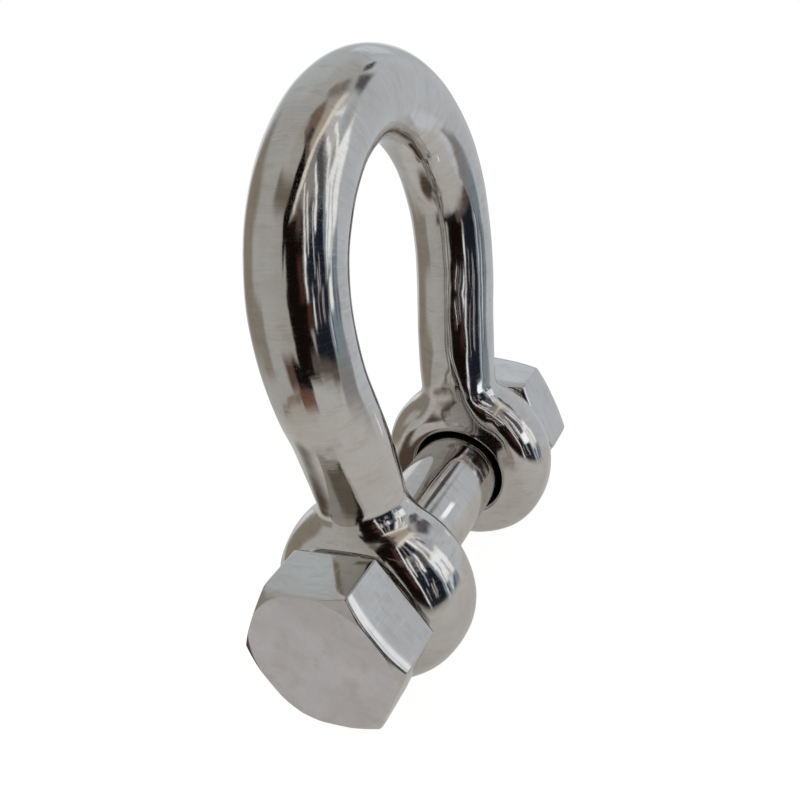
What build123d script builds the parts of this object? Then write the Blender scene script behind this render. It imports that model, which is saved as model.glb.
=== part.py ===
from build123d import *
import math
import os

# Bow shackle: a forged bow with an eye on each leg, a hexagon bolt through both
# eyes, and a hexagon nut on the bolt's end.
# Frame: the bolt's axis is X, the bow stands up along +Z, and the origin is the
# middle of the bolt between the eyes. The bolt's head is at -X. Millimetres.

# Bow
STOCK_D = 33.5  # round bar of the bow
CROWN_R = 62.0  # centreline of the half-round crown
CROWN_Z = 108.0  # height of the crown's centre above the bolt's axis
SIDE_R = 96.0  # centreline of each side, still curving inwards
SIDE_TURN = 19.1  # degrees
NECK_R = 190.0  # centreline of each neck, curving back outwards
NECK_TURN = 14.1  # degrees
BAR_END_Z = 4.0  # the bar runs this low inside the eye

# Eyes
JAW = 66.0  # clear width between the eyes
EYE_D = 77.0
EYE_THICK = 36.0
EYE_HOLE_D = 41.0
INNER_ROUND = 13.0  # round of the eye's rim on the jaw side
OUTER_ROUND_AXIAL = 21.0  # flatter, longer round on the outer side
OUTER_ROUND_RADIAL = 13.0
JAW_FLAT_TOP = 54.0  # the flat jaw sides run up into the necks
ROOT_FILLET = 4.0  # where the neck grows out of the eye
HOLE_CHAMFER = 0.6

# Bolt
BOLT_D = 38.0
THREAD_PITCH_D = 35.0  # the thread is modelled as its pitch cylinder
THREAD_LENGTH = 33.0
HEAD_AF = 57.0
HEAD_THICK = 25.0
HEAD_TURN = -2.4  # degrees, as tightened
WASHER_FACE_D = 53.0
WASHER_FACE_THICK = 0.9
END_CHAMFER = 2.0
BOLT_PAST_NUT = 3.0
UNDER_HEAD_GAP = 0.05

# Nut
NUT_AF = 58.0
NUT_THICK = 27.0
NUT_TURN = 10.2  # degrees, as tightened
NUT_BORE_D = 35.2
NUT_BORE_CHAMFER = 1.5
HEX_CHAMFER = 30.0  # degrees between the chamfer cone and the end face

EYE_OUTER_X = JAW / 2 + EYE_THICK
NUT_OUTER_X = EYE_OUTER_X + UNDER_HEAD_GAP + NUT_THICK
BOLT_END_X = NUT_OUTER_X + BOLT_PAST_NUT
HEAD_SEAT_X = -(EYE_OUTER_X + UNDER_HEAD_GAP)


def heading(degrees):
    """Unit vector in the XZ plane, measured from +X towards +Z."""
    a = math.radians(degrees)
    return Vector(math.cos(a), 0, math.sin(a))


def on_arc(centre, radius, degrees):
    return centre + heading(degrees) * radius


def half_centreline():
    """The right-hand half of the bar's centreline, from the crown's top down."""
    crown = Vector(0, 0, CROWN_Z)
    side = crown + Vector(CROWN_R - SIDE_R, 0, 0)
    neck = on_arc(side, SIDE_R + NECK_R, -SIDE_TURN)
    low = 180 - SIDE_TURN
    end = on_arc(neck, NECK_R, low + NECK_TURN)
    down = heading(low + NECK_TURN + 90)
    tail = end + down * ((end.Z - BAR_END_Z) / -down.Z)
    arcs = [
        arc(crown, CROWN_R, 90, 0),
        arc(side, SIDE_R, 0, -SIDE_TURN),
        arc(neck, NECK_R, low, low + NECK_TURN),
    ]
    return arcs + [Line(end, tail)]


def arc(centre, radius, start, stop):
    """Arc in the XZ plane through its start, middle and stop angles."""
    middle = (start + stop) / 2
    points = [on_arc(centre, radius, a) for a in (start, middle, stop)]
    return ThreePointArc(*points)


def bar():
    """The round bar, half of it swept and then mirrored."""
    path = Wire(half_centreline())
    section = Plane((0, 0, CROWN_Z + CROWN_R), z_dir=(1, 0, 0)) * Circle(STOCK_D / 2)
    half = sweep(section, path=path)
    return half + mirror(half, about=Plane.YZ)


def eye_profile():
    """Half section of one eye over the bolt's axis, before it is turned."""
    inner, outer, rim = JAW / 2, EYE_OUTER_X, EYE_D / 2
    flat = rim - INNER_ROUND
    outer_flat = rim - OUTER_ROUND_RADIAL
    inner_arc = CenterArc((inner + INNER_ROUND, flat), INNER_ROUND, 90, 90)
    outer_arc = EllipticalCenterArc(
        (outer - OUTER_ROUND_AXIAL, outer_flat),
        OUTER_ROUND_AXIAL,
        OUTER_ROUND_RADIAL,
        start_angle=0,
        arc_size=90,
    )
    lines = [
        Line((inner, 0), (inner, flat)),
        inner_arc,
        Line((inner + INNER_ROUND, rim), (outer - OUTER_ROUND_AXIAL, rim)),
        outer_arc,
        Line((outer, outer_flat), (outer, 0)),
        Line((outer, 0), (inner, 0)),
    ]
    return make_face(Plane.XZ * Curve(children=lines))


def eyes():
    one = revolve(eye_profile(), Axis.X)
    return one + mirror(one, about=Plane.YZ)


def along_x(diameter, start, stop):
    """Round bar on the bolt's axis between two stations."""
    plane = Plane((start, 0, 0), z_dir=(1, 0, 0))
    return extrude(plane * Circle(diameter / 2), amount=stop - start)


def rims(body, diameter):
    """The circular edges of a hole."""
    circles = body.edges().filter_by(GeomType.CIRCLE)
    return [e for e in circles if abs(e.radius - diameter / 2) < 0.01]


def root_edges(body):
    """Edges where a neck meets its eye: above the bolt and off the jaw's flat."""
    found = []
    for edge in body.edges():
        box = edge.bounding_box()
        curved = edge.geom_type not in (GeomType.CIRCLE, GeomType.LINE)
        if curved and 20 < box.center().Z < 45 and box.size.Y > 1:
            found.append(edge)
    return found


def make_bow():
    body = bar() + eyes()
    body = fillet(root_edges(body), ROOT_FILLET)
    jaw = Pos(0, 0, (JAW_FLAT_TOP - EYE_D) / 2) * Box(JAW, 2 * EYE_D, JAW_FLAT_TOP + EYE_D)
    body -= jaw
    body -= along_x(EYE_HOLE_D, -2 * EYE_OUTER_X, 2 * EYE_OUTER_X)
    return chamfer(rims(body, EYE_HOLE_D), HOLE_CHAMFER)


def hexagon(across_flats, thickness, start, turn):
    """Hexagonal prism on the bolt's axis, a flat upwards when turn is 0."""
    plane = Plane((start, 0, 0), x_dir=(0, 1, 0), z_dir=(1, 0, 0))
    outline = RegularPolygon(across_flats / 2, 6, major_radius=False, rotation=turn)
    return extrude(plane * outline, amount=thickness)


def chamfer_cone(across_flats, face_x, side):
    """Cone that takes the corners off a hexagon's end; its solid lies behind the face."""
    depth = across_flats
    slope = math.tan(math.radians(HEX_CHAMFER))
    wide = across_flats / 2 + depth / slope
    profile = Plane.XZ * Polygon(
        (face_x, 0),
        (face_x, across_flats / 2),
        (face_x - side * depth, wide),
        (face_x - side * depth, 0),
        align=None,
    )
    return revolve(profile, Axis.X)


def make_bolt():
    top = HEAD_SEAT_X - HEAD_THICK
    under = HEAD_SEAT_X - WASHER_FACE_THICK
    head = hexagon(HEAD_AF, HEAD_THICK - WASHER_FACE_THICK, top, HEAD_TURN)
    head &= chamfer_cone(HEAD_AF, top, -1)
    washer_face = along_x(WASHER_FACE_D, under, HEAD_SEAT_X)
    thread_start = BOLT_END_X - THREAD_LENGTH
    shank = along_x(BOLT_D, under, thread_start)
    thread = along_x(THREAD_PITCH_D, thread_start, BOLT_END_X)
    tip = thread.faces().sort_by(Axis.X)[-1]
    thread = chamfer(tip.edges(), END_CHAMFER)
    return head + washer_face + shank + thread


def make_nut():
    seat = EYE_OUTER_X + UNDER_HEAD_GAP
    body = hexagon(NUT_AF, NUT_THICK, seat, NUT_TURN)
    body &= chamfer_cone(NUT_AF, NUT_OUTER_X, 1)
    body &= chamfer_cone(NUT_AF, seat, -1)
    body -= along_x(NUT_BORE_D, seat - 1, NUT_OUTER_X + 1)
    return chamfer(rims(body, NUT_BORE_D), NUT_BORE_CHAMFER)


def write(name, shape):
    solid = shape.solids()[0]
    solid.label = name
    export_step(solid, f"parts/{name}.step")


os.makedirs("parts", exist_ok=True)
write("bow", make_bow())
write("bolt", make_bolt())
write("nut", make_nut())
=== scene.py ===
import math

import bpy
import numpy as np
from mathutils import Matrix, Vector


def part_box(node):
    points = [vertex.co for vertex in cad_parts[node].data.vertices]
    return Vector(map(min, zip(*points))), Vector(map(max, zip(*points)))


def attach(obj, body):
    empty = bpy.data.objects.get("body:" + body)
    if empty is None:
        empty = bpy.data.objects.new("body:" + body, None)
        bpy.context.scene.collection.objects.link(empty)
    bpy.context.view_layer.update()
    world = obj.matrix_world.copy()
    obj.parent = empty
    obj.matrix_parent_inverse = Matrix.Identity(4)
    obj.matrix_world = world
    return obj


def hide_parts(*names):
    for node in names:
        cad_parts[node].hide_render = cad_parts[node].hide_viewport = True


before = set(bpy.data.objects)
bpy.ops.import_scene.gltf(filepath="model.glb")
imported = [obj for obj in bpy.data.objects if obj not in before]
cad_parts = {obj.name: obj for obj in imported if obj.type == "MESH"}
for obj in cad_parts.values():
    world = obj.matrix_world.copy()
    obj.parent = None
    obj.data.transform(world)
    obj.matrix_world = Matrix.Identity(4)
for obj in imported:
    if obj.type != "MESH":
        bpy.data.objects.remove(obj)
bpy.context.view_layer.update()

# A polished bow shackle: a forged bow, a hexagon-headed bolt through its eyes and a
# hexagon nut. Shapes are worked out in millimetres, with the bolt's axis along X,
# and turned into metres when a mesh is made.

MM = 0.001


def box_mm(node):
    """Lowest and highest corner of a CAD node."""
    return [np.array(corner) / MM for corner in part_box(node)]


BOW_HIGH = box_mm("bow")[1]
BOLT_LOW, BOLT_HIGH = box_mm("bolt")
NUT_LOW, NUT_HIGH = box_mm("nut")

# Bow: round bar in the XZ plane, with an eye on each leg
BAR_R = 16.75
CROWN_R = BOW_HIGH[0] - BAR_R
CROWN_Z = BOW_HIGH[2] - BAR_R - CROWN_R
SIDE_R, SIDE_TURN = 96.0, math.radians(19.1)
NECK_R, NECK_TURN = 190.0, math.radians(14.1)
BAR_END_Z = 4.0
JAW_X, EYE_THICK, EYE_R = 33.0, 36.0, BOW_HIGH[1]
HOLE_R = 20.5
INNER_ROUND = 13.0
OUTER_ROUND = (21.0, 13.0)  # along the bolt, and towards the rim
ROOT_BLEND = 5.5  # soft join of neck and eye
JAW_EDGE = 1.6
HOLE_EDGE = 2.0
JAW_TOP_Z = 80.0
BORED_FROM_X = 20.0  # the holes are cut only beyond this
EYE_RIPPLES_Z = (36, 52)  # the eyes' own ripples fade out between these heights
RIPPLES_FROM_R = (22, 27)  # and all ripples fade out towards the holes
BOW_STEP = 0.8  # size of the bow's mesh cells
BOW_MARGIN = 3.0  # empty space round it in the mesh's grid
BORE_REACH = 0.3  # a face this near the hole's radius counts as bored

# Hexagons: half the width across flats
HEAD_HALF, HEAD_TURN = 28.5, math.radians(-2.4)
NUT_HALF, NUT_TURN = 29.0, math.radians(10.2)
CHAMFER_SLOPE = math.tan(math.radians(30))
CORNER_EASE = 0.7
RIM_EASE = 0.9  # the eased edge's reach over the end
FLAT_EASE = 4.5  # and over the flats, which polishing rolls off
RIM_RINGS = 9
CHAMFER_INSET = 0.35  # the chamfer starts this far inside the flats
END_FLAT_INSET = 1.2  # the evenly spaced rings of the end stop this far inside them
END_RADII = 10
END_STEPS = (0.12, 0.25, 0.37, 0.5, 0.65, 0.82, 1.0)  # the rest of the way to the rim
SATIN_ROWS = END_RADII + 1  # rows of faces, from the middle of the head's end

# Stations along the bolt
NUT_SEAT_X, NUT_FACE_X = NUT_LOW[0], NUT_HIGH[0]
HEAD_FACE_X, HEAD_SEAT_X, BOLT_END_X = BOLT_LOW[0], -NUT_SEAT_X, BOLT_HIGH[0]
WASHER_FACE_R, WASHER_FACE_THICK = 26.5, 0.9
HEAD_UNDER_X = HEAD_SEAT_X - WASHER_FACE_THICK
SHANK_R, THREAD_LENGTH = 19.0, 33.0
SHANK_END_X = BOLT_END_X - THREAD_LENGTH
SEAT_SLOPE = 0.02  # the washer face stands out by this share of the way to the shank

# Thread: the bolt's crests and roots, and the nut's
PITCH = 4.23
BOLT_CREST_R, BOLT_ROOT_R = 18.7, 16.35
NUT_CREST_R, NUT_ROOT_R = 16.75, 19.1
NUT_WIDEN = 0.35  # how much wider the nut's thread is cut
THREAD_STEP = 0.22  # between rings along a thread
CENTRE_R = 0.02  # radius of the ring that closes an end


# ---------------------------------------------------------------- bow


def smooth_min(a, b, reach):
    h = np.clip(0.5 + 0.5 * (b - a) / reach, 0, 1)
    return b + (a - b) * h - reach * h * (1 - h)


def smooth_max(a, b, reach):
    return -smooth_min(-a, -b, reach)


def off_arc(x, z, centre, radius, angle, low, high):
    """Distance from an arc, or infinity beyond its ends."""
    off = np.abs(np.hypot(x - centre[0], z - centre[1]) - radius)
    return np.where((angle >= low) & (angle <= high), off, np.inf)


def off_centreline(x, z):
    """Distance in the XZ plane from the bar's centreline."""
    x = np.abs(x)
    crown = np.where(z >= CROWN_Z, np.abs(np.hypot(x, z - CROWN_Z) - CROWN_R), np.inf)
    side_c = (CROWN_R - SIDE_R, CROWN_Z)
    turned = np.arctan2(CROWN_Z - z, x - side_c[0])
    side = off_arc(x, z, side_c, SIDE_R, turned, 0, SIDE_TURN)
    reach = SIDE_R + NECK_R
    neck_c = (side_c[0] + reach * math.cos(SIDE_TURN), CROWN_Z - reach * math.sin(SIDE_TURN))
    lean = SIDE_TURN - NECK_TURN
    turned = np.arctan2(z - neck_c[1], neck_c[0] - x)
    neck = off_arc(x, z, neck_c, NECK_R, turned, lean, SIDE_TURN)
    end_x = neck_c[0] - NECK_R * math.cos(lean)
    end_z = neck_c[1] + NECK_R * math.sin(lean)
    down_x, down_z = -math.sin(lean), -math.cos(lean)
    length = (BAR_END_Z - end_z) / down_z
    along = np.clip((x - end_x) * down_x + (z - end_z) * down_z, 0, length)
    tail = np.hypot(x - end_x - down_x * along, z - end_z - down_z * along)
    return np.minimum(np.minimum(crown, side), np.minimum(neck, tail))


def off_eye(x, rho):
    """Signed distance from an eye's turned shape, at radius rho from the bolt's axis."""
    x = np.abs(x)
    outer_x = JAW_X + EYE_THICK
    long, deep = OUTER_ROUND
    inner_c, outer_c = JAW_X + INNER_ROUND, outer_x - long
    inner = np.hypot(x - inner_c, rho - (EYE_R - INNER_ROUND)) - INNER_ROUND
    u, v = (x - outer_c) / long, (rho - (EYE_R - deep)) / deep
    size = np.hypot(u, v)
    steep = np.hypot(u / long, v / deep) / np.maximum(size, 1e-6)
    outer = (size - 1) / np.maximum(steep, 1e-3)
    slab = np.maximum(np.maximum(JAW_X - x, x - outer_x), rho - EYE_R)
    slab = np.where((rho > EYE_R - INNER_ROUND) & (x < inner_c), inner, slab)
    return np.where((rho > EYE_R - deep) & (x > outer_c), outer, slab)


def smooth_step(value, low, high):
    t = np.clip((value - low) / (high - low), 0, 1)
    return t * t * (3 - 2 * t)


def waves(seed, count, shortest, longest, tilt, stretch):
    """Seeded plane waves, for the ripples of hand polishing.

    Each is a wave vector, a phase and a height. Its crests run mostly along the
    first coordinate, and drift sideways by the share given as stretch.
    """
    rng = np.random.default_rng(seed)
    found = []
    for _ in range(count):
        length = rng.uniform(shortest, longest)
        direction = rng.normal(size=3) * (stretch, 1, 1)
        direction /= np.linalg.norm(direction)
        vector = direction * 2 * math.pi / length
        found.append((vector, rng.uniform(0, 2 * math.pi), tilt * length / (2 * math.pi)))
    return found


BAR_WAVES = waves(7, 7, 12.0, 28.0, 0.0080, 1.0) + waves(3, 8, 5.0, 11.0, 0.0050, 0.12)
EYE_WAVES = waves(19, 6, 7.5, 12.0, 0.0120, 1.0) + waves(5, 8, 5.0, 9.0, 0.0100, 0.22)


def dips(place, group):
    """How far the polished surface lies below its true shape, never above it."""
    depth = 0.0
    for vector, phase, height in group:
        turn = vector[0] * place[0] + vector[1] * place[1] + vector[2] * place[2]
        depth = depth + height * (1 - np.sin(turn + phase))
    return depth


def along_bar(x, y, z):
    """Length along the bar from one foot to the other, then two distances across it."""
    up = z - CROWN_Z
    leg = np.where(x > 0, -up, up - math.pi * CROWN_R)
    length = np.where(up > 0, -CROWN_R * np.arctan2(up, x), leg)
    return length, y, np.where(up > 0, np.hypot(x, up), np.abs(x))


def round_eye(x, y, z):
    """Length round an eye, then the distances along the bolt and out from it."""
    return EYE_R * np.arctan2(y, z + EYE_R), x, np.hypot(y, z)


def bow_shape(x, y, z):
    """Signed distance from the bow in its exact shape."""
    bar = np.hypot(off_centreline(x, z), y) - BAR_R
    rho = np.hypot(y, z)
    shape = smooth_min(bar, off_eye(x, rho), ROOT_BLEND)
    shape = np.where(z < JAW_TOP_Z, smooth_max(shape, JAW_X - np.abs(x), JAW_EDGE), shape)
    bored = smooth_max(shape, HOLE_R - rho, HOLE_EDGE)
    return np.where(np.abs(x) > BORED_FROM_X, bored, shape)


def polished_bow(x, y, z):
    """The same with its polishing ripples, deeper on the eyes than on the bar."""
    on_eye = 1 - smooth_step(z, *EYE_RIPPLES_Z)
    rho = np.hypot(y, z)
    outside = smooth_step(rho, *RIPPLES_FROM_R)
    ripple = dips(along_bar(x, y, z), BAR_WAVES) + on_eye * dips(round_eye(x, y, z), EYE_WAVES)
    return bow_shape(x, y, z) + ripple * outside


def slope(shape, points, reach=0.05):
    """Gradient of a signed distance."""
    found = np.empty_like(points)
    for axis in range(3):
        step = np.zeros(3)
        step[axis] = reach
        ahead, behind = points + step, points - step
        found[:, axis] = (shape(*ahead.T) - shape(*behind.T)) / (2 * reach)
    return found


def onto(shape, points, rounds):
    """The points moved along the gradient to the surface."""
    for _ in range(rounds):
        g = slope(shape, points)
        away = shape(*points.T) / np.maximum((g * g).sum(1), 1e-6)
        points = points - g * away[:, None]
    return points


def cell_corners():
    return [(a, b, c) for a in (0, 1) for b in (0, 1) for c in (0, 1)]


def surface_cells(field):
    """Cells of a sampled field that its zero surface passes through."""
    inside = field < 0
    size = np.array(field.shape) - 1
    count = np.zeros(size, np.int8)
    for a, b, c in cell_corners():
        count += inside[a : size[0] + a, b : size[1] + b, c : size[2] + c]
    return np.argwhere((count > 0) & (count < 8))


def cell_points(field, cells):
    """In each cell, the mean of the places where the surface cuts the cell's edges."""
    total = np.zeros((len(cells), 3))
    hits = np.zeros(len(cells))
    for axis in range(3):
        for shift in (s for s in cell_corners() if s[axis] == 0):
            start = cells + np.array(shift)
            end = start.copy()
            end[:, axis] += 1
            f0, f1 = field[tuple(start.T)], field[tuple(end.T)]
            cut = (f0 < 0) != (f1 < 0)
            part = np.where(cut, f0 / np.where(cut, f0 - f1, 1), 0)
            place = start.astype(float)
            place[:, axis] += part
            total += place * cut[:, None]
            hits += cut
    return total / hits[:, None]


def cell_quads(field, cells):
    """One quad round each grid edge that the surface cuts, wound outwards."""
    inside = field < 0
    index = np.full(np.array(field.shape) - 1, -1, np.int64)
    index[tuple(cells.T)] = np.arange(len(cells))
    quads = []
    for axis in range(3):
        a, b = (axis + 1) % 3, (axis + 2) % 3
        first = np.take(inside, np.arange(field.shape[axis] - 1), axis)
        second = np.take(inside, np.arange(1, field.shape[axis]), axis)
        edges = np.argwhere(first != second)
        around = []
        for da, db in ((-1, -1), (0, -1), (0, 0), (-1, 0)):
            corner = edges.copy()
            corner[:, a] += da
            corner[:, b] += db
            around.append(index[tuple(corner.T)])
        quad = np.stack(around, 1)
        outwards = inside[tuple(edges.T)]
        quads.append(np.where(outwards[:, None], quad, quad[:, ::-1]))
    return np.vstack(quads)


def relaxed(points, quads):
    """Each point moved towards the mean of its neighbours."""
    total = np.zeros_like(points)
    count = np.zeros(len(points))
    for k in range(4):
        here, there = quads[:, k], quads[:, (k + 1) % 4]
        for a, b in ((here, there), (there, here)):
            np.add.at(total, a, points[b])
            np.add.at(count, a, 1)
    return points + 0.5 * (total / count[:, None] - points)


def make_bow():
    """Grid cells that the surface passes through, joined and moved onto the polished shape."""
    low = np.array([-(CROWN_R + BAR_R), -EYE_R, -EYE_R]) - BOW_MARGIN
    high = np.array([CROWN_R + BAR_R, EYE_R, CROWN_Z + CROWN_R + BAR_R]) + BOW_MARGIN
    axes = [np.arange(a, b, BOW_STEP) for a, b in zip(low, high)]
    field = bow_shape(*np.meshgrid(*axes, indexing="ij", sparse=True))
    cells = surface_cells(field)
    points = low + cell_points(field, cells) * BOW_STEP
    quads = cell_quads(field, cells)
    points = onto(polished_bow, points, 2)
    for _ in range(3):
        points = onto(polished_bow, relaxed(points, quads), 1)
    rho = np.hypot(points[:, 1], points[:, 2])
    # Faces in the holes take the second material, whose dark colour is painted shade inside the holes
    near_hole = rho[quads].max(1) < HOLE_R + BORE_REACH
    in_eye = np.abs(points[quads[:, 0], 0]) > JAW_X
    bore = np.flatnonzero(near_hole & in_eye)
    piece = add_piece("bow steel", points, quads, slope(polished_bow, points), bore)
    lay = piece.data.attributes.new("lay", "FLOAT_VECTOR", "POINT")
    lay.data.foreach_set("vector", np.column_stack(along_bar(*points.T)).ravel())
    return piece


# ---------------------------------------------------------------- hexagons and threads


def hexagon(half, turn, per_side=44):
    """Outline of a hexagon with lightly eased corners, as (y, z) points."""
    corner = half / math.cos(math.pi / 6)
    points = []
    for k in range(6):
        a0, a1 = turn + math.radians(60 * k - 30 + 90), turn + math.radians(60 * k + 30 + 90)
        p0 = np.array([math.cos(a0), math.sin(a0)]) * corner
        p1 = np.array([math.cos(a1), math.sin(a1)]) * corner
        side = (p1 - p0) / np.linalg.norm(p1 - p0)
        start, end = p0 + side * CORNER_EASE, p1 - side * CORNER_EASE
        for t in np.linspace(0, 1, per_side, endpoint=False):
            points.append(start + (end - start) * t)
        after = np.array([-side[1], side[0]])
        turned = side * 0.5 + after * math.sqrt(0.75)
        finish = p1 + turned * CORNER_EASE
        for t in np.linspace(0, 1, 5, endpoint=False):
            points.append((1 - t) ** 2 * end + 2 * t * (1 - t) * p1 + t * t * finish)
    return np.array(points)


def past(value, soft=0.25):
    """How far a value is past zero, with a soft start."""
    return 0.5 * (value + np.sqrt(value * value + soft * soft))


class Rings:
    """A skin built ring by ring, every ring with the same number of points."""

    def __init__(self, outline):
        self.outline = outline
        self.reach = np.hypot(outline[:, 0], outline[:, 1])
        self.unit = outline / self.reach[:, None]
        self.angle = np.arctan2(outline[:, 1], outline[:, 0])
        self.rings = []

    def add(self, x, radius):
        x = np.broadcast_to(x, self.reach.shape)
        radius = np.broadcast_to(radius, self.reach.shape)
        self.rings.append(np.column_stack([x, self.unit * radius[:, None]]))

    def faces(self, closed):
        count = len(self.outline)
        here = np.arange(count)
        ahead = (here + 1) % count
        steps = len(self.rings) if closed else len(self.rings) - 1
        quads = []
        for k in range(steps):
            a, b = k * count, ((k + 1) % len(self.rings)) * count
            quads.append(np.stack([a + here, a + ahead, b + ahead, b + here], 1))
        return np.vstack(quads)


def end_face(skin, face_x, side, half, inner, chamfered=True):
    """Rings of a hexagon's end, from an inner radius out to just before the rim."""
    flat = half - END_FLAT_INSET
    for r in np.linspace(inner, flat, END_RADII):
        skin.add(face_x - side * drop(r, half, chamfered), r)
    for t in END_STEPS:
        r = flat + (skin.reach - RIM_EASE - flat) * t
        skin.add(face_x - side * drop(r, half, chamfered), r)


def drop(radius, half, chamfered):
    """How far a hexagon's end has fallen back at a radius."""
    if not chamfered:
        return 0 * radius
    return CHAMFER_SLOPE * past(radius - half + CHAMFER_INSET)


def rim(skin, face_x, side, half, chamfered=True):
    """Rings round the eased edge between a hexagon's end and its flats."""
    reach = skin.reach
    edge_x = face_x - side * drop(reach, half, chamfered)
    start_x = face_x - side * drop(reach - RIM_EASE, half, chamfered)
    end_x = edge_x - side * (FLAT_EASE if chamfered else RIM_EASE)
    rings = []
    for t in np.linspace(0, 1, RIM_RINGS + 1)[1:]:
        x = (1 - t) ** 2 * start_x + 2 * t * (1 - t) * edge_x + t * t * end_x
        r = (1 - t) ** 2 * (reach - RIM_EASE) + (1 - (1 - t) ** 2) * reach
        rings.append((x, r))
    return rings


def flats(skin, start, end, count=12):
    """Rings along a hexagon's sides between two eased edges."""
    for x, r in start:
        skin.add(x, r)
    for t in np.linspace(0, 1, count + 2)[1:-1]:
        skin.add(start[-1][0] * (1 - t) + end[-1][0] * t, skin.reach)
    for x, r in reversed(end):
        skin.add(x, r)


def thread_radius(x, angle, low, high, widen=0.0):
    """Radius of a right-hand thread between its roots and crests."""
    turn = (x / PITCH - angle / (2 * math.pi)) % 1.0
    tooth = 1 - 2 * np.abs(turn - 0.5)
    height = (tooth - 0.5) * PITCH * math.sqrt(3) / 2 + (BOLT_CREST_R + BOLT_ROOT_R) / 2
    return np.clip(height + widen, low, high)


def make_bolt():
    """From the middle of the head's end over its rim, flats and underside, then along the shank."""
    skin = Rings(hexagon(HEAD_HALF, HEAD_TURN))
    front = rim(skin, HEAD_FACE_X, -1, HEAD_HALF)
    back = rim(skin, HEAD_UNDER_X, 1, HEAD_HALF, chamfered=False)
    end_face(skin, HEAD_FACE_X, -1, HEAD_HALF, CENTRE_R)
    flats(skin, front, back)
    for t in (0.97, 0.8, 0.5, 0.2):
        skin.add(HEAD_UNDER_X, WASHER_FACE_R + 0.1 + (skin.reach - WASHER_FACE_R) * t * 0.97)
    for x, r in ((0, 0.1), (0.1, 0), (0.75, 0), (0.88, -0.15)):
        skin.add(HEAD_UNDER_X + x, WASHER_FACE_R + r)
    for r in (26.0, 23.0, 20.2, 19.6, 19.15):
        skin.add(HEAD_SEAT_X + SEAT_SLOPE * (WASHER_FACE_R - r), r)
    for x in (HEAD_SEAT_X + 0.55, *np.linspace(HEAD_SEAT_X + 2, SHANK_END_X - 0.6, 60)):
        skin.add(x, SHANK_R)
    for x in np.arange(SHANK_END_X, BOLT_END_X - 0.05, THREAD_STEP):
        skin.add(x, threaded_bolt(x, skin.angle))
    tip = BOLT_ROOT_R - 0.1
    for r in (tip, tip - 0.5, 12, 8, 4, CENTRE_R):
        skin.add(BOLT_END_X, r)
    points, quads = np.vstack(skin.rings), skin.faces(closed=False)
    satin = range(len(skin.outline) * SATIN_ROWS)
    return add_piece("bolt steel", points, quads, second=satin)


def threaded_bolt(x, angle):
    """The bolt's radius along its thread, with a run-out and a chamfered tip."""
    thread = thread_radius(x, angle, BOLT_ROOT_R, BOLT_CREST_R)
    shank = SHANK_R - 0.3 - 0.9 * past(x - SHANK_END_X - 0.6, 0.3)
    tip = BOLT_CREST_R - past(x - BOLT_END_X + 2.4, 0.2)
    return np.minimum(np.maximum(thread, np.minimum(shank, BOLT_CREST_R)), tip)


def make_nut():
    """Over the outer end, the flats and the seat, then back through the threaded bore."""
    skin = Rings(hexagon(NUT_HALF, NUT_TURN))
    mouth = NUT_ROOT_R + NUT_WIDEN
    outer = rim(skin, NUT_FACE_X, 1, NUT_HALF)
    inner = rim(skin, NUT_SEAT_X, -1, NUT_HALF)
    end_face(skin, NUT_FACE_X, 1, NUT_HALF, mouth)
    flats(skin, outer, inner)
    seat = Rings(skin.outline)
    end_face(seat, NUT_SEAT_X, -1, NUT_HALF, mouth)
    skin.rings += seat.rings[::-1]
    for x in np.arange(NUT_SEAT_X + 0.15, NUT_FACE_X - 0.1, THREAD_STEP):
        thread = thread_radius(x, skin.angle, NUT_CREST_R, NUT_ROOT_R, NUT_WIDEN)
        opening = NUT_ROOT_R + 0.2 - 1.2 * min(x - NUT_SEAT_X, NUT_FACE_X - x)
        skin.add(x, np.maximum(thread, opening))
    points, quads = np.vstack(skin.rings), skin.faces(closed=True)
    return add_piece("nut steel", points, quads)


# ---------------------------------------------------------------- meshes


def face_normals(points, quads):
    """Normals of the quads, as long as their areas."""
    corners = points[quads]
    return 0.5 * np.cross(corners[:, 2] - corners[:, 0], corners[:, 3] - corners[:, 1])


def area_weighted(points, quads):
    """Point normals in which a large flat face counts for more than a thin edge."""
    faces = face_normals(points, quads)
    total = np.zeros_like(points)
    for k in range(4):
        np.add.at(total, quads[:, k], faces)
    return total


def add_piece(name, points, quads, normals=None, second=()):
    """A smooth mesh piece in metres. The quads listed in second take its second material."""
    faces = face_normals(points, quads)
    if (faces * points[quads[:, 0]]).sum() < 0:
        quads = quads[:, ::-1]
    if normals is None:
        normals = area_weighted(points, quads)
    lengths = np.linalg.norm(normals, axis=1)
    normals = normals / np.maximum(lengths, 1e-9)[:, None]
    mesh = bpy.data.meshes.new(name)
    mesh.from_pydata((points * MM).tolist(), [], quads.tolist())
    which = np.zeros(len(quads), np.int32)
    which[list(second)] = 1
    mesh.polygons.foreach_set("material_index", which)
    mesh.polygons.foreach_set("use_smooth", np.ones(len(quads), bool))
    mesh.update()
    mesh.normals_split_custom_set_from_vertices(normals.tolist())
    piece = bpy.data.objects.new(name.replace(" ", "_"), mesh)
    bpy.context.scene.collection.objects.link(piece)
    return piece


# ---------------------------------------------------------------- node helpers


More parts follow.
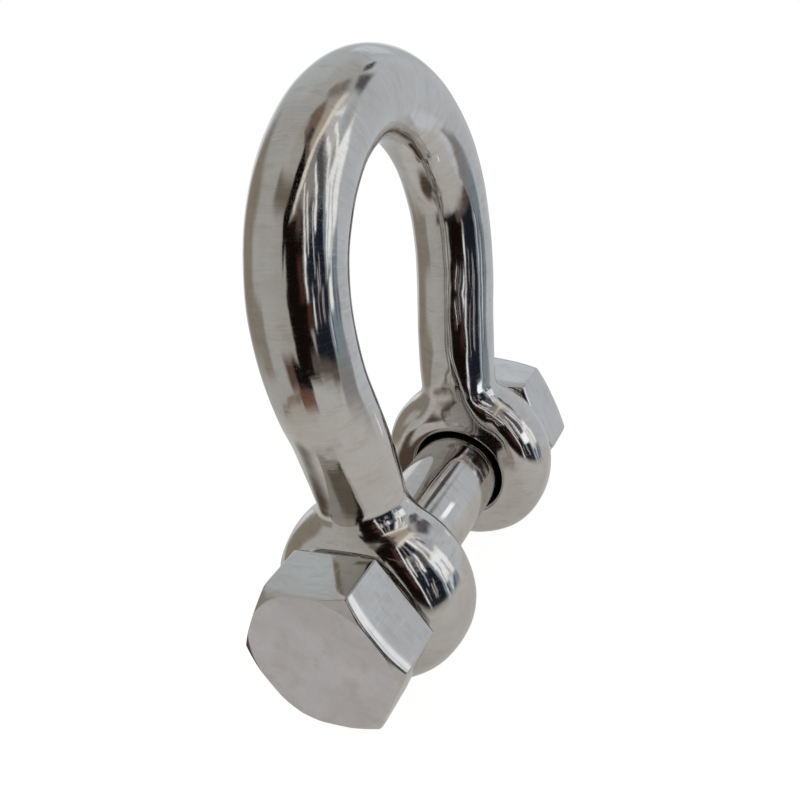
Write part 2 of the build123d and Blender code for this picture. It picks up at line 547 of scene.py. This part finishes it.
class Nodes:
    """Short ways to add and join shader nodes."""

    def __init__(self, tree):
        self.tree = tree
        tree.nodes.clear()

    def add(self, kind, **settings):
        node = self.tree.nodes.new(kind)
        for key, value in settings.items():
            setattr(node, key, value)
        return node

    def feed(self, socket, value):
        if isinstance(value, bpy.types.NodeSocket):
            self.tree.links.new(value, socket)
        else:
            socket.default_value = value

    def show(self, shader, kind="ShaderNodeOutputMaterial"):
        """Join a shader to the tree's output."""
        self.tree.links.new(shader.outputs[0], self.add(kind).inputs["Surface"])

    def math(self, operation, a, b=0.0):
        node = self.add("ShaderNodeMath", operation=operation)
        self.feed(node.inputs[0], a)
        self.feed(node.inputs[1], b)
        return node.outputs[0]

    def ramp(self, value, low, high, to_low=0.0, to_high=1.0, smooth=True):
        kind = "SMOOTHSTEP" if smooth else "LINEAR"
        node = self.add("ShaderNodeMapRange", interpolation_type=kind)
        self.feed(node.inputs[0], value)
        for socket, number in zip(node.inputs[1:5], (low, high, to_low, to_high)):
            self.feed(socket, number)
        return node.outputs[0]

    def mix(self, part, a, b):
        node = self.add("ShaderNodeMix", data_type="RGBA")
        self.feed(node.inputs[0], part)
        self.feed(node.inputs[6], a)
        self.feed(node.inputs[7], b)
        return node.outputs[2]

    def fade(self, part, a, b):
        """A mix of two shaders."""
        node = self.add("ShaderNodeMixShader")
        self.feed(node.inputs[0], part)
        self.tree.links.new(a.outputs[0], node.inputs[1])
        self.tree.links.new(b.outputs[0], node.inputs[2])
        return node

    def total(self, *parts):
        value = parts[0]
        for part in parts[1:]:
            value = self.math("ADD", value, part)
        return value

    def noise(self, place, scale, detail=2.0, roughness=0.5):
        node = self.add("ShaderNodeTexNoise")
        self.feed(node.inputs["Vector"], place)
        self.feed(node.inputs["Scale"], scale)
        self.feed(node.inputs["Detail"], detail)
        self.feed(node.inputs["Roughness"], roughness)
        return node.outputs[0]

    def stretched(self, place, turn, scale):
        node = self.add("ShaderNodeMapping")
        self.feed(node.inputs["Vector"], place)
        node.inputs["Rotation"].default_value = turn
        node.inputs["Scale"].default_value = scale
        return node.outputs[0]


# ---------------------------------------------------------------- steel


SCRATCH_TURNS = ((0.3, 0.2, 0.7), (0.1, 0.9, -0.5), (0.9, -0.3, 1.6), (0.2, -1.0, 0.4))
STAIN_SIZE = 16.0
PIT_COLOUR = (0.05, 0.045, 0.04, 1)


def scratches(nodes, place, turns, amount):
    """Thin straight marks in several directions, 0 to 1."""
    marks = []
    for turn in turns:
        lie = nodes.stretched(place, turn, (0.05, 2.6, 2.6))
        marks.append(nodes.ramp(nodes.noise(lie, 1.0, 1.0), 1 - amount, 1.04 - amount))
    return nodes.math("MINIMUM", nodes.total(*marks), 1.0)


def veins(nodes, place, size):
    """Faint wandering contour lines left by polishing compound, 0 to 1."""
    level = nodes.noise(place, 1 / size, 3.0, 0.6)
    off = nodes.math("ABSOLUTE", nodes.math("SUBTRACT", level, 0.5))
    return nodes.ramp(off, 0.006, 0.022, 1.0, 0.0)


def specks(nodes, place):
    """A few small pits, 0 to 1."""
    cells = nodes.add("ShaderNodeTexVoronoi")
    nodes.feed(cells.inputs["Vector"], place)
    cells.inputs["Scale"].default_value = 0.3
    near = nodes.ramp(cells.outputs["Distance"], 0.03, 0.07, 1.0, 0.0)
    rare = nodes.ramp(nodes.noise(place, 0.045, 1.0), 0.60, 0.66)
    return nodes.math("MULTIPLY", near, rare)


class Wear:
    """What hand polishing leaves on steel, each kind as a value from 0 to 1.

    Lengths are millimetres. The brush lines cross the first axis of lay, a vector
    kept on the mesh, or else of the object's own place.
    """

    def __init__(self, nodes, marks, lay):
        metres = nodes.add("ShaderNodeTexCoord").outputs["Object"]
        scale = nodes.add("ShaderNodeVectorMath", operation="SCALE")
        nodes.feed(scale.inputs[0], metres)
        scale.inputs["Scale"].default_value = 1 / MM
        place = grid = scale.outputs[0]
        if lay:
            grid = nodes.add("ShaderNodeAttribute", attribute_name=lay).outputs["Vector"]
        self.fine = nodes.noise(nodes.stretched(grid, (0, 0, 0.10), (1.9, 0.09, 0.09)), 1.0, 1.5)
        self.broad = nodes.noise(nodes.stretched(grid, (0, 0.12, -0.2), (0.55, 0.05, 0.05)), 1.0, 2.0)
        self.dents = nodes.noise(place, 0.22, 1.0)
        self.mottle = nodes.noise(nodes.stretched(grid, (0, 0, 0), (0.30, 0.12, 0.12)), 1.0, 3.0, 0.6)
        self.cloud = nodes.noise(place, 0.055, 4.0, 0.6)
        self.marked = scratches(nodes, place, SCRATCH_TURNS, marks)
        self.stain = veins(nodes, place, STAIN_SIZE)
        self.pits = specks(nodes, place)


def shaded(tint, shares):
    """A colour with each channel times its share, never above 1."""
    return (*(min(1.0, c * share) for c, share in zip(tint, shares)), 1)


def steel_colour(nodes, wear, tint, brushed):
    """The tint, clouded and mottled, brighter along the brush lines, dark in the pits."""
    stained = shaded(tint, (0.84, 0.82, 0.79))
    bright = shaded(tint, (1.06, 1.06, 1.06))
    colour = nodes.mix(nodes.ramp(wear.cloud, 0.36, 0.64), (*tint, 1), shaded(tint, (0.92, 0.91, 0.895)))
    colour = nodes.mix(nodes.ramp(wear.mottle, 0.48, 0.70, 0.0, 0.75), colour, stained)
    colour = nodes.mix(nodes.ramp(wear.fine, 0.48, 0.72, 0.0, 0.5 * brushed), colour, bright)
    colour = nodes.mix(nodes.math("MULTIPLY", wear.stain, 0.16), colour, stained)
    return nodes.mix(nodes.math("MULTIPLY", wear.pits, 0.85), colour, PIT_COLOUR)


def steel_roughness(nodes, wear, rough, brushed):
    """Duller in its clouds, along the brush lines and on the scratches."""
    base = nodes.ramp(wear.cloud, 0.3, 0.7, rough, rough + 0.04)
    streak = nodes.ramp(wear.fine, 0.35, 0.7, 0.0, 0.05 * brushed)
    return nodes.total(base, streak, nodes.math("MULTIPLY", wear.marked, 0.12))


def steel_bump(nodes, wear, brushed, dented):
    """The finest relief, too small for the mesh."""
    bump = nodes.add("ShaderNodeBump")
    bump.inputs["Strength"].default_value = 1.0
    bump.inputs["Distance"].default_value = MM
    height = nodes.total(
        nodes.math("MULTIPLY", wear.fine, 0.0010 * brushed),
        nodes.math("MULTIPLY", wear.broad, 0.0014 * brushed),
        nodes.math("MULTIPLY", wear.dents, 0.024 * dented),
        nodes.math("MULTIPLY", wear.marked, -0.003),
        nodes.math("MULTIPLY", wear.pits, -0.02),
    )
    nodes.feed(bump.inputs["Height"], height)
    return bump.outputs[0]


def steel(name, tint, rough, brushed, dented, marks, lay=None):
    """Stainless steel polished by hand: brush lines, soft dents, scratches and stains."""
    material = bpy.data.materials.new(name)
    material.use_nodes = True
    nodes = Nodes(material.node_tree)
    wear = Wear(nodes, marks, lay)
    shader = nodes.add("ShaderNodeBsdfPrincipled")
    shader.inputs["Metallic"].default_value = 1.0
    nodes.feed(shader.inputs["Base Color"], steel_colour(nodes, wear, tint, brushed))
    nodes.feed(shader.inputs["Roughness"], steel_roughness(nodes, wear, rough, brushed))
    nodes.feed(shader.inputs["Normal"], steel_bump(nodes, wear, brushed, dented))
    nodes.show(shader)
    return material


# ---------------------------------------------------------------- studio

# What the steel reflects, painted in order. Each patch has a colour, a range of
# azimuths, a range of heights, the softness of its edges and how far it leans
# sideways with height, all in degrees. A BEAM patch takes its heights from the
# straight bright beam that crosses the ceiling, and a ROOM patch from the horizon.
BLACK = (0.008, 0.005, 0.004)
NAVY = (0.014, 0.017, 0.028)
RUSSET = (0.075, 0.030, 0.022)
WHITE = (1.20, 1.20, 1.20)
ROOM, BEAM = "room", "beam"
POLES = {ROOM: (0, 0, 1), BEAM: (0.0755, 0.8627, 0.5)}  # what each kind's heights rise towards
PATCHES = [
    (ROOM, (0.635, 0.65, 0.67), (34, 96), (-40, 40), 8.0, 0.0),
    (ROOM, (0.565, 0.58, 0.58), (88, 152), (10, 66), 8.0, 0.0),
    (ROOM, (0.52, 0.52, 0.505), (50, 100), (40, 66), 8.0, 0.0),
    (ROOM, (0.315, 0.270, 0.215), (152, 200), (-24, 34), 8.0, 0.0),
    (ROOM, (0.315, 0.270, 0.215), (-200, -168), (-24, 34), 8.0, 0.0),
    (ROOM, (0.86, 0.86, 0.86), (104, 148), (-14, 11), 5.0, 0.0),
    (ROOM, (0.32, 0.28, 0.235), (-172, -142), (-27, -1), 5.0, 0.0),
    (ROOM, (0.50, 0.495, 0.48), (70, 200), (-95, -29), 4.0, 0.0),
    (ROOM, (0.50, 0.465, 0.405), (-200, -70), (-95, -38), 3.0, 0.0),
    (ROOM, (0.60, 0.59, 0.57), (-76, 0), (-95, -33), 3.0, 0.0),
    (ROOM, (0.72, 0.74, 0.765), (0, 76), (-95, -29), 4.0, 0.0),
    (ROOM, (0.26, 0.18, 0.14), (-165, -96), (-38.5, -36.8), 0.6, 0.0),
    (ROOM, (0.22, 0.16, 0.125), (-42, 46), (66, 83), 4.0, 0.0),
    (ROOM, (0.06, 0.05, 0.045), (-34, 4), (65, 75), 3.0, 0.0),
    (ROOM, (0.22, 0.185, 0.145), (-128, -72), (44, 60), 6.0, 0.0),
    (ROOM, (0.30, 0.27, 0.24), (48, 66), (57, 68), 3.0, 0.0),
    (ROOM, (0.73, 0.76, 0.79), (92, 110), (20, 32), 2.0, 0.0),
    (ROOM, (0.10, 0.08, 0.07), (67, 76.5), (33, 39), 1.3, 0.0),
    (ROOM, (0.30, 0.29, 0.285), (4, 46), (-38, -22), 4.0, 0.0),
    (BEAM, (0.55, 0.46, 0.37), (-30, 44), (1, 8), 3.0, 0.0),
    (BEAM, (0.34, 0.315, 0.29), (-64, 14), (-38, 0), 3.0, 0.0),
    (BEAM, (0.66, 0.64, 0.62), (12, 42), (-26, 0), 4.0, 0.0),
    (BEAM, BLACK, (-86, -33), (1.2, 14.0), 1.3, 0.0),
    (BEAM, (0.16, 0.12, 0.115), (-37, -22), (1.2, 13.0), 3.0, 0.0),
    (BEAM, (0.98, 0.90, 0.80), (-63, 44), (-4.0, 0.9), 1.0, 0.0),
    (ROOM, (0.13, 0.08, 0.06), (-110, -84), (-36, -22), 4.0, 0.0),
    (ROOM, (0.20, 0.085, 0.05), (-98, -66), (-42, -35), 2.0, 0.0),
    (ROOM, BLACK, (-92, -62), (-36, -24), 2.5, 0.0),
    (ROOM, BLACK, (-78, -39), (-31, 38), 2.0, 0.0),
    (ROOM, (0.13, 0.085, 0.065), (-54, -41), (30, 44), 5.0, 0.0),
    (ROOM, RUSSET, (-52, -42), (0, 20), 4.0, 0.0),
    (ROOM, (0.13, 0.10, 0.085), (-50, 4), (-30, -21), 2.5, 0.0),
    (ROOM, NAVY, (-34, 4.5), (-24, 21), 2.2, 0.0),
    (ROOM, (0.10, 0.10, 0.11), (-9, 4), (20, 50), 3.0, 0.05),
    (ROOM, (0.10, 0.10, 0.11), (-28, -19), (20, 34), 3.0, 0.05),
    (ROOM, (0.27, 0.32, 0.37), (4, 9), (-18, 19), 2.0, 0.0),
    (ROOM, (0.27, 0.32, 0.36), (6, 38), (-24, -5), 2.5, 0.0),
    (ROOM, WHITE, (9, 36), (-3, 22), 2.2, 0.12),
    (ROOM, (0.56, 0.58, 0.61), (12.5, 15), (-4, 18), 1.0, 0.15),
    (ROOM, (0.62, 0.64, 0.67), (21, 24), (-8, 14), 1.2, 0.15),
    (ROOM, (0.85, 0.90, 0.95), (9, 11), (-20, -2), 0.8, 0.05),
    (ROOM, (0.07, 0.09, 0.12), (12.5, 15), (-22, -5), 1.2, 0.1),
    (ROOM, (0.80, 0.85, 0.90), (18.5, 22), (-14, 0), 1.2, 0.1),
    (ROOM, (0.10, 0.13, 0.17), (24.5, 27.5), (-17, -5), 1.4, 0.1),
    (ROOM, (0.50, 0.53, 0.57), (26, 42), (24, 34), 4.0, 0.0),
    (ROOM, WHITE, (-37.6, -35.0), (-13, 50), 0.8, 0.04),
    (ROOM, (1.1, 1.08, 1.05), (-31.5, -28.5), (14, 42), 1.0, 0.08),
    (ROOM, (1.0, 0.98, 0.97), (-19.8, -18.4), (4, 30), 0.7, 0.10),
    (ROOM, WHITE, (-15.0, -11.0), (16, 46), 1.2, 0.08),
    (ROOM, WHITE, (7.0, 11.0), (12, 46), 1.2, 0.10),
    (ROOM, WHITE, (19, 23), (18, 42), 1.3, 0.10),
    (ROOM, (0.70, 0.62, 0.60), (-25, -23.8), (-9, 3), 0.5, 0.1),
    (ROOM, (0.90, 0.86, 0.85), (-13.8, -12.6), (-8, 5), 0.5, 0.1),
    (ROOM, (0.80, 0.74, 0.72), (-10.2, -9), (-9, 8), 0.5, 0.12),
    (ROOM, (0.13, 0.12, 0.125), (47, 62), (28, 41), 3.0, 0.0),
    (ROOM, (0.27, 0.24, 0.20), (45, 60), (48, 64), 4.0, 0.0),
    (ROOM, WHITE, (44, 47), (38, 50), 1.2, -0.3),
]


# Cards held close to the eyes, which only the steel's reflections see. Each has the
# eye it is for, its distance from there in millimetres, its azimuths and heights in
# degrees, and a colour. The first ones carry the room's stripes on upwards.
NEAR_EYE, FAR_EYE = (-60.0, -18.0, 30.0), (41.0, -32.0, 18.0)
HIGH = (33, 58)
CARD_POINTS = 24  # along each side of a card
CARD_FADE = 0.2  # share of a side over which a card fades in
CARDS = [
    (NEAR_EYE, 110, (-78, -52), HIGH, BLACK),
    (NEAR_EYE, 110, (-52, -42), HIGH, RUSSET),
    (NEAR_EYE, 110, (-42, -38), HIGH, BLACK),
    (NEAR_EYE, 110, (-38, -35), HIGH, WHITE),
    (NEAR_EYE, 110, (-35, -25), HIGH, NAVY),
    (NEAR_EYE, 110, (-25, -23.8), HIGH, (0.70, 0.62, 0.60)),
    (NEAR_EYE, 110, (-23.8, -13.8), HIGH, NAVY),
    (NEAR_EYE, 110, (-13.8, -12.6), HIGH, (0.90, 0.86, 0.85)),
    (NEAR_EYE, 110, (-12.6, -10.2), HIGH, NAVY),
    (NEAR_EYE, 110, (-10.2, -9), HIGH, (0.80, 0.74, 0.72)),
    (NEAR_EYE, 110, (-9, 4.5), HIGH, NAVY),
    (NEAR_EYE, 110, (4.5, 9), HIGH, (0.27, 0.32, 0.37)),
    (NEAR_EYE, 110, (9, 17), HIGH, WHITE),
    (NEAR_EYE, 110, (31, 34), (26, 42), (0.10, 0.10, 0.11)),
    (FAR_EYE, 28, (-24, 14), (-4, 26), (1.4, 1.45, 1.5)),
]

# How the patches' edges waver: the scale and detail of the noise, and degrees
SWAY, LIFT = (5.0, 2.0, 1.6), (3.1, 1.0, 0.8)

# The walls round the room, the light's tint, and what the camera itself sees behind
WARM_WALL, PALE_WALL = (0.475, 0.455, 0.410, 1), (0.515, 0.500, 0.470, 1)
COOL_WALL = (0.51, 0.505, 0.49, 1)
DAYLIGHT = (0.935, 0.965, 1.0, 1)
BACKDROP = (1.0, 1.0, 1.0, 1)

# The floor, a disc that fades away at its rim, with a painted shadow of the shackle on it
# that only the steel's reflections see. Metres.
FLOOR_R, FLOOR_SIDES, FLOOR_GAP = 0.26, 96, 0.0002
FLOOR_FADE = (0.15, 0.25)
# Where the painted shadow lies on the floor, and how it fades out
SHADE_PLACE, SHADE_FADE = (-0.045, 0.072), (0.035, 0.075)


def seen(nodes):
    """1 for what the camera itself sees, 0 for what the steel mirrors."""
    return nodes.add("ShaderNodeLightPath").outputs["Is Camera Ray"]


def window(nodes, value, span, soft):
    """1 inside a span of degrees and 0 outside, with soft ends."""
    low, high = span
    rise = nodes.ramp(value, low - soft, low + soft)
    fall = nodes.ramp(value, high - soft, high + soft, 1.0, 0.0)
    return nodes.math("MULTIPLY", rise, fall)


def degrees(nodes, direction, axis):
    """How far a direction rises towards an axis, in degrees."""
    dot = nodes.add("ShaderNodeVectorMath", operation="DOT_PRODUCT")
    nodes.feed(dot.inputs[0], direction)
    dot.inputs[1].default_value = axis
    return nodes.math("DEGREES", nodes.math("ARCSINE", dot.outputs["Value"]))


def wavering(nodes, place, value, scale, detail, reach):
    """A value in degrees, shifted a little one way or the other from place to place."""
    noise = nodes.noise(place, scale, detail)
    return nodes.math("ADD", value, nodes.ramp(noise, 0.3, 0.7, -reach, reach, smooth=False))


def room_colours(nodes, place):
    """The walls' colours, then each patch over the ones before it."""
    split = nodes.add("ShaderNodeSeparateXYZ")
    nodes.feed(split.inputs[0], place)
    x, y, _ = split.outputs
    azimuth = nodes.math("DEGREES", nodes.math("ARCTAN2", x, nodes.math("MULTIPLY", y, -1.0)))
    azimuth = wavering(nodes, place, azimuth, *SWAY)
    heights = {
        kind: wavering(nodes, place, degrees(nodes, place, pole), *LIFT)
        for kind, pole in POLES.items()
    }
    colour = nodes.mix(nodes.ramp(azimuth, -125, -90, 1.0, 0.0), WARM_WALL, PALE_WALL)
    colour = nodes.mix(nodes.ramp(azimuth, 20, 70), colour, COOL_WALL)
    for kind, tone, azimuths, span, soft, lean in PATCHES:
        height = heights[kind]
        across = nodes.math("SUBTRACT", azimuth, nodes.math("MULTIPLY", height, lean))
        sides, ends = window(nodes, across, azimuths, soft), window(nodes, height, span, soft)
        colour = nodes.mix(nodes.math("MULTIPLY", sides, ends), colour, (*tone, 1))
    return colour


def studio():
    """Soft light room: pale walls and floor, with dark and bright shapes to mirror."""
    world = bpy.data.worlds.new("studio")
    world.use_nodes = True
    bpy.context.scene.world = world
    nodes = Nodes(world.node_tree)
    place = nodes.add("ShaderNodeTexCoord").outputs["Generated"]
    cool = nodes.add("ShaderNodeMix", data_type="RGBA", blend_type="MULTIPLY")
    cool.inputs[0].default_value = 1.0
    nodes.feed(cool.inputs[6], room_colours(nodes, place))
    nodes.feed(cool.inputs[7], DAYLIGHT)
    background = nodes.add("ShaderNodeBackground")
    nodes.feed(background.inputs["Color"], nodes.mix(seen(nodes), cool.outputs[2], BACKDROP))
    nodes.show(background, "ShaderNodeOutputWorld")


def card(centre, distance, azimuths, heights, colour):
    """Piece of a sphere round a centre, out of the camera's sight.

    Its upper and lower ends are soft. The far eye's one has soft sides too.
    """
    count = CARD_POINTS
    across, upwards = np.linspace(*azimuths, count), np.linspace(*heights, count)
    azimuth, height = np.meshgrid(np.radians(across), np.radians(upwards))
    flat = np.cos(height)
    ray = np.stack([np.sin(azimuth) * flat, -np.cos(azimuth) * flat, np.sin(height)], -1)
    points = (np.array(centre) + distance * ray).reshape(-1, 3) * MM
    first = (np.arange(count - 1)[:, None] * count + np.arange(count - 1)).ravel()
    quads = np.stack([first, first + 1, first + count + 1, first + count], 1)
    mesh = bpy.data.meshes.new("card")
    mesh.from_pydata(points.tolist(), [], quads.tolist())
    inwards = np.linspace(0, 1, count)
    fade = smooth_step(np.minimum(inwards, 1 - inwards), 0, CARD_FADE)
    spread = fade[:, None] * (fade if centre == FAR_EYE else np.ones(count))
    mesh.attributes.new("fade", "FLOAT", "POINT").data.foreach_set("value", spread.ravel())
    material = bpy.data.materials.new("card")
    material.use_nodes = True
    nodes = Nodes(material.node_tree)
    glow = nodes.add("ShaderNodeEmission")
    nodes.feed(glow.inputs["Color"], (*colour, 1))
    strength = nodes.add("ShaderNodeAttribute", attribute_name="fade").outputs["Fac"]
    nodes.show(nodes.fade(strength, nodes.add("ShaderNodeBsdfTransparent"), glow))
    mesh.materials.append(material)
    sheet = bpy.data.objects.new("card", mesh)
    sheet.visible_camera = False
    sheet.visible_diffuse = False
    bpy.context.scene.collection.objects.link(sheet)
    return sheet


def floor():
    """Pale floor under the shackle, fading at its rim into the room's own pale floor."""
    height = -EYE_R * MM - FLOOR_GAP
    turns = [2 * math.pi * k / FLOOR_SIDES for k in range(FLOOR_SIDES)]
    corners = [(FLOOR_R * math.cos(a), FLOOR_R * math.sin(a), height) for a in turns]
    mesh = bpy.data.meshes.new("floor")
    mesh.from_pydata(corners, [], [tuple(range(FLOOR_SIDES))])
    disc = bpy.data.objects.new("floor", mesh)
    bpy.context.scene.collection.objects.link(disc)
    material = bpy.data.materials.new("pale floor")
    material.use_nodes = True
    nodes = Nodes(material.node_tree)
    place = nodes.add("ShaderNodeTexCoord").outputs["Object"]
    # Painted shadow: the floor that the steel mirrors turns dark round SHADE_PLACE, where the shackle's
    # shade falls
    apart = nodes.add("ShaderNodeVectorMath", operation="DISTANCE")
    nodes.feed(apart.inputs[0], place)
    apart.inputs[1].default_value = (*SHADE_PLACE, height)
    shade = nodes.ramp(apart.outputs["Value"], *SHADE_FADE, 1.0, 0.0)
    dim = nodes.mix(shade, (0.70, 0.69, 0.68, 1), (0.16, 0.12, 0.09, 1))
    dim_glow = nodes.mix(shade, (0.30, 0.295, 0.285, 1), (0.03, 0.02, 0.015, 1))
    matt = nodes.add("ShaderNodeBsdfDiffuse")
    nodes.feed(matt.inputs["Color"], nodes.mix(seen(nodes), dim, (0.30, 0.30, 0.30, 1)))
    glow = nodes.add("ShaderNodeEmission")
    nodes.feed(glow.inputs["Color"], nodes.mix(seen(nodes), dim_glow, (0.92, 0.92, 0.92, 1)))
    both = nodes.add("ShaderNodeAddShader")
    nodes.tree.links.new(matt.outputs[0], both.inputs[0])
    nodes.tree.links.new(glow.outputs[0], both.inputs[1])
    away = nodes.add("ShaderNodeVectorMath", operation="LENGTH")
    nodes.feed(away.inputs[0], place)
    faded = nodes.ramp(away.outputs["Value"], *FLOOR_FADE)
    nodes.show(nodes.fade(faded, both, nodes.add("ShaderNodeBsdfTransparent")))
    mesh.materials.append(material)
    return disc


def camera():
    """Camera above the head's end, tipped a little to one side."""
    right = (0.41942563, -0.89511353, -0.15117509)
    up = (0.44768502, 0.0590836, 0.89223722)
    back = (-0.78972164, -0.44190598, 0.4255101)
    place = (-0.28192276, -0.15343734, 0.20499805)
    data = bpy.data.cameras.new("camera")
    data.lens = 40.204
    data.sensor_width = 36.0
    view = bpy.data.objects.new("camera", data)
    bpy.context.scene.collection.objects.link(view)
    columns = [(*right, 0), (*up, 0), (*back, 0), (*place, 1)]
    view.matrix_world = Matrix(columns).transposed()
    bpy.context.scene.camera = view


# ---------------------------------------------------------------- scene

bow_look = steel("bow steel", (0.66, 0.64, 0.615), 0.045, 1.0, 1.0, 0.27, lay="lay")
# Steel of the holes: rougher for its turned finish, and darkened as painted shade inside the holes
shaded_bore_look = steel("shaded bore steel", (0.26, 0.245, 0.23), 0.42, 1.0, 1.0, 0.27)
bolt_look = steel("bolt steel", (0.67, 0.655, 0.635), 0.05, 0.25, 0.6, 0.295)
satin_look = steel("satin steel", (0.665, 0.645, 0.665), 0.27, 0.6, 1.4, 0.30)
nut_look = steel("nut steel", (0.68, 0.665, 0.65), 0.06, 0.25, 0.6, 0.295)

PIECES = [
    (make_bow, "bow", (bow_look, shaded_bore_look)),
    (make_bolt, "bolt", (bolt_look, satin_look)),
    (make_nut, "nut", (nut_look,)),
]
for make, node, looks in PIECES:
    piece = make()
    for look in looks:
        piece.data.materials.append(look)
    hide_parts(node)
    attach(piece, node)

floor()
for held in CARDS:
    card(*held)
studio()
camera()
bpy.context.scene.view_settings.view_transform = "Standard"
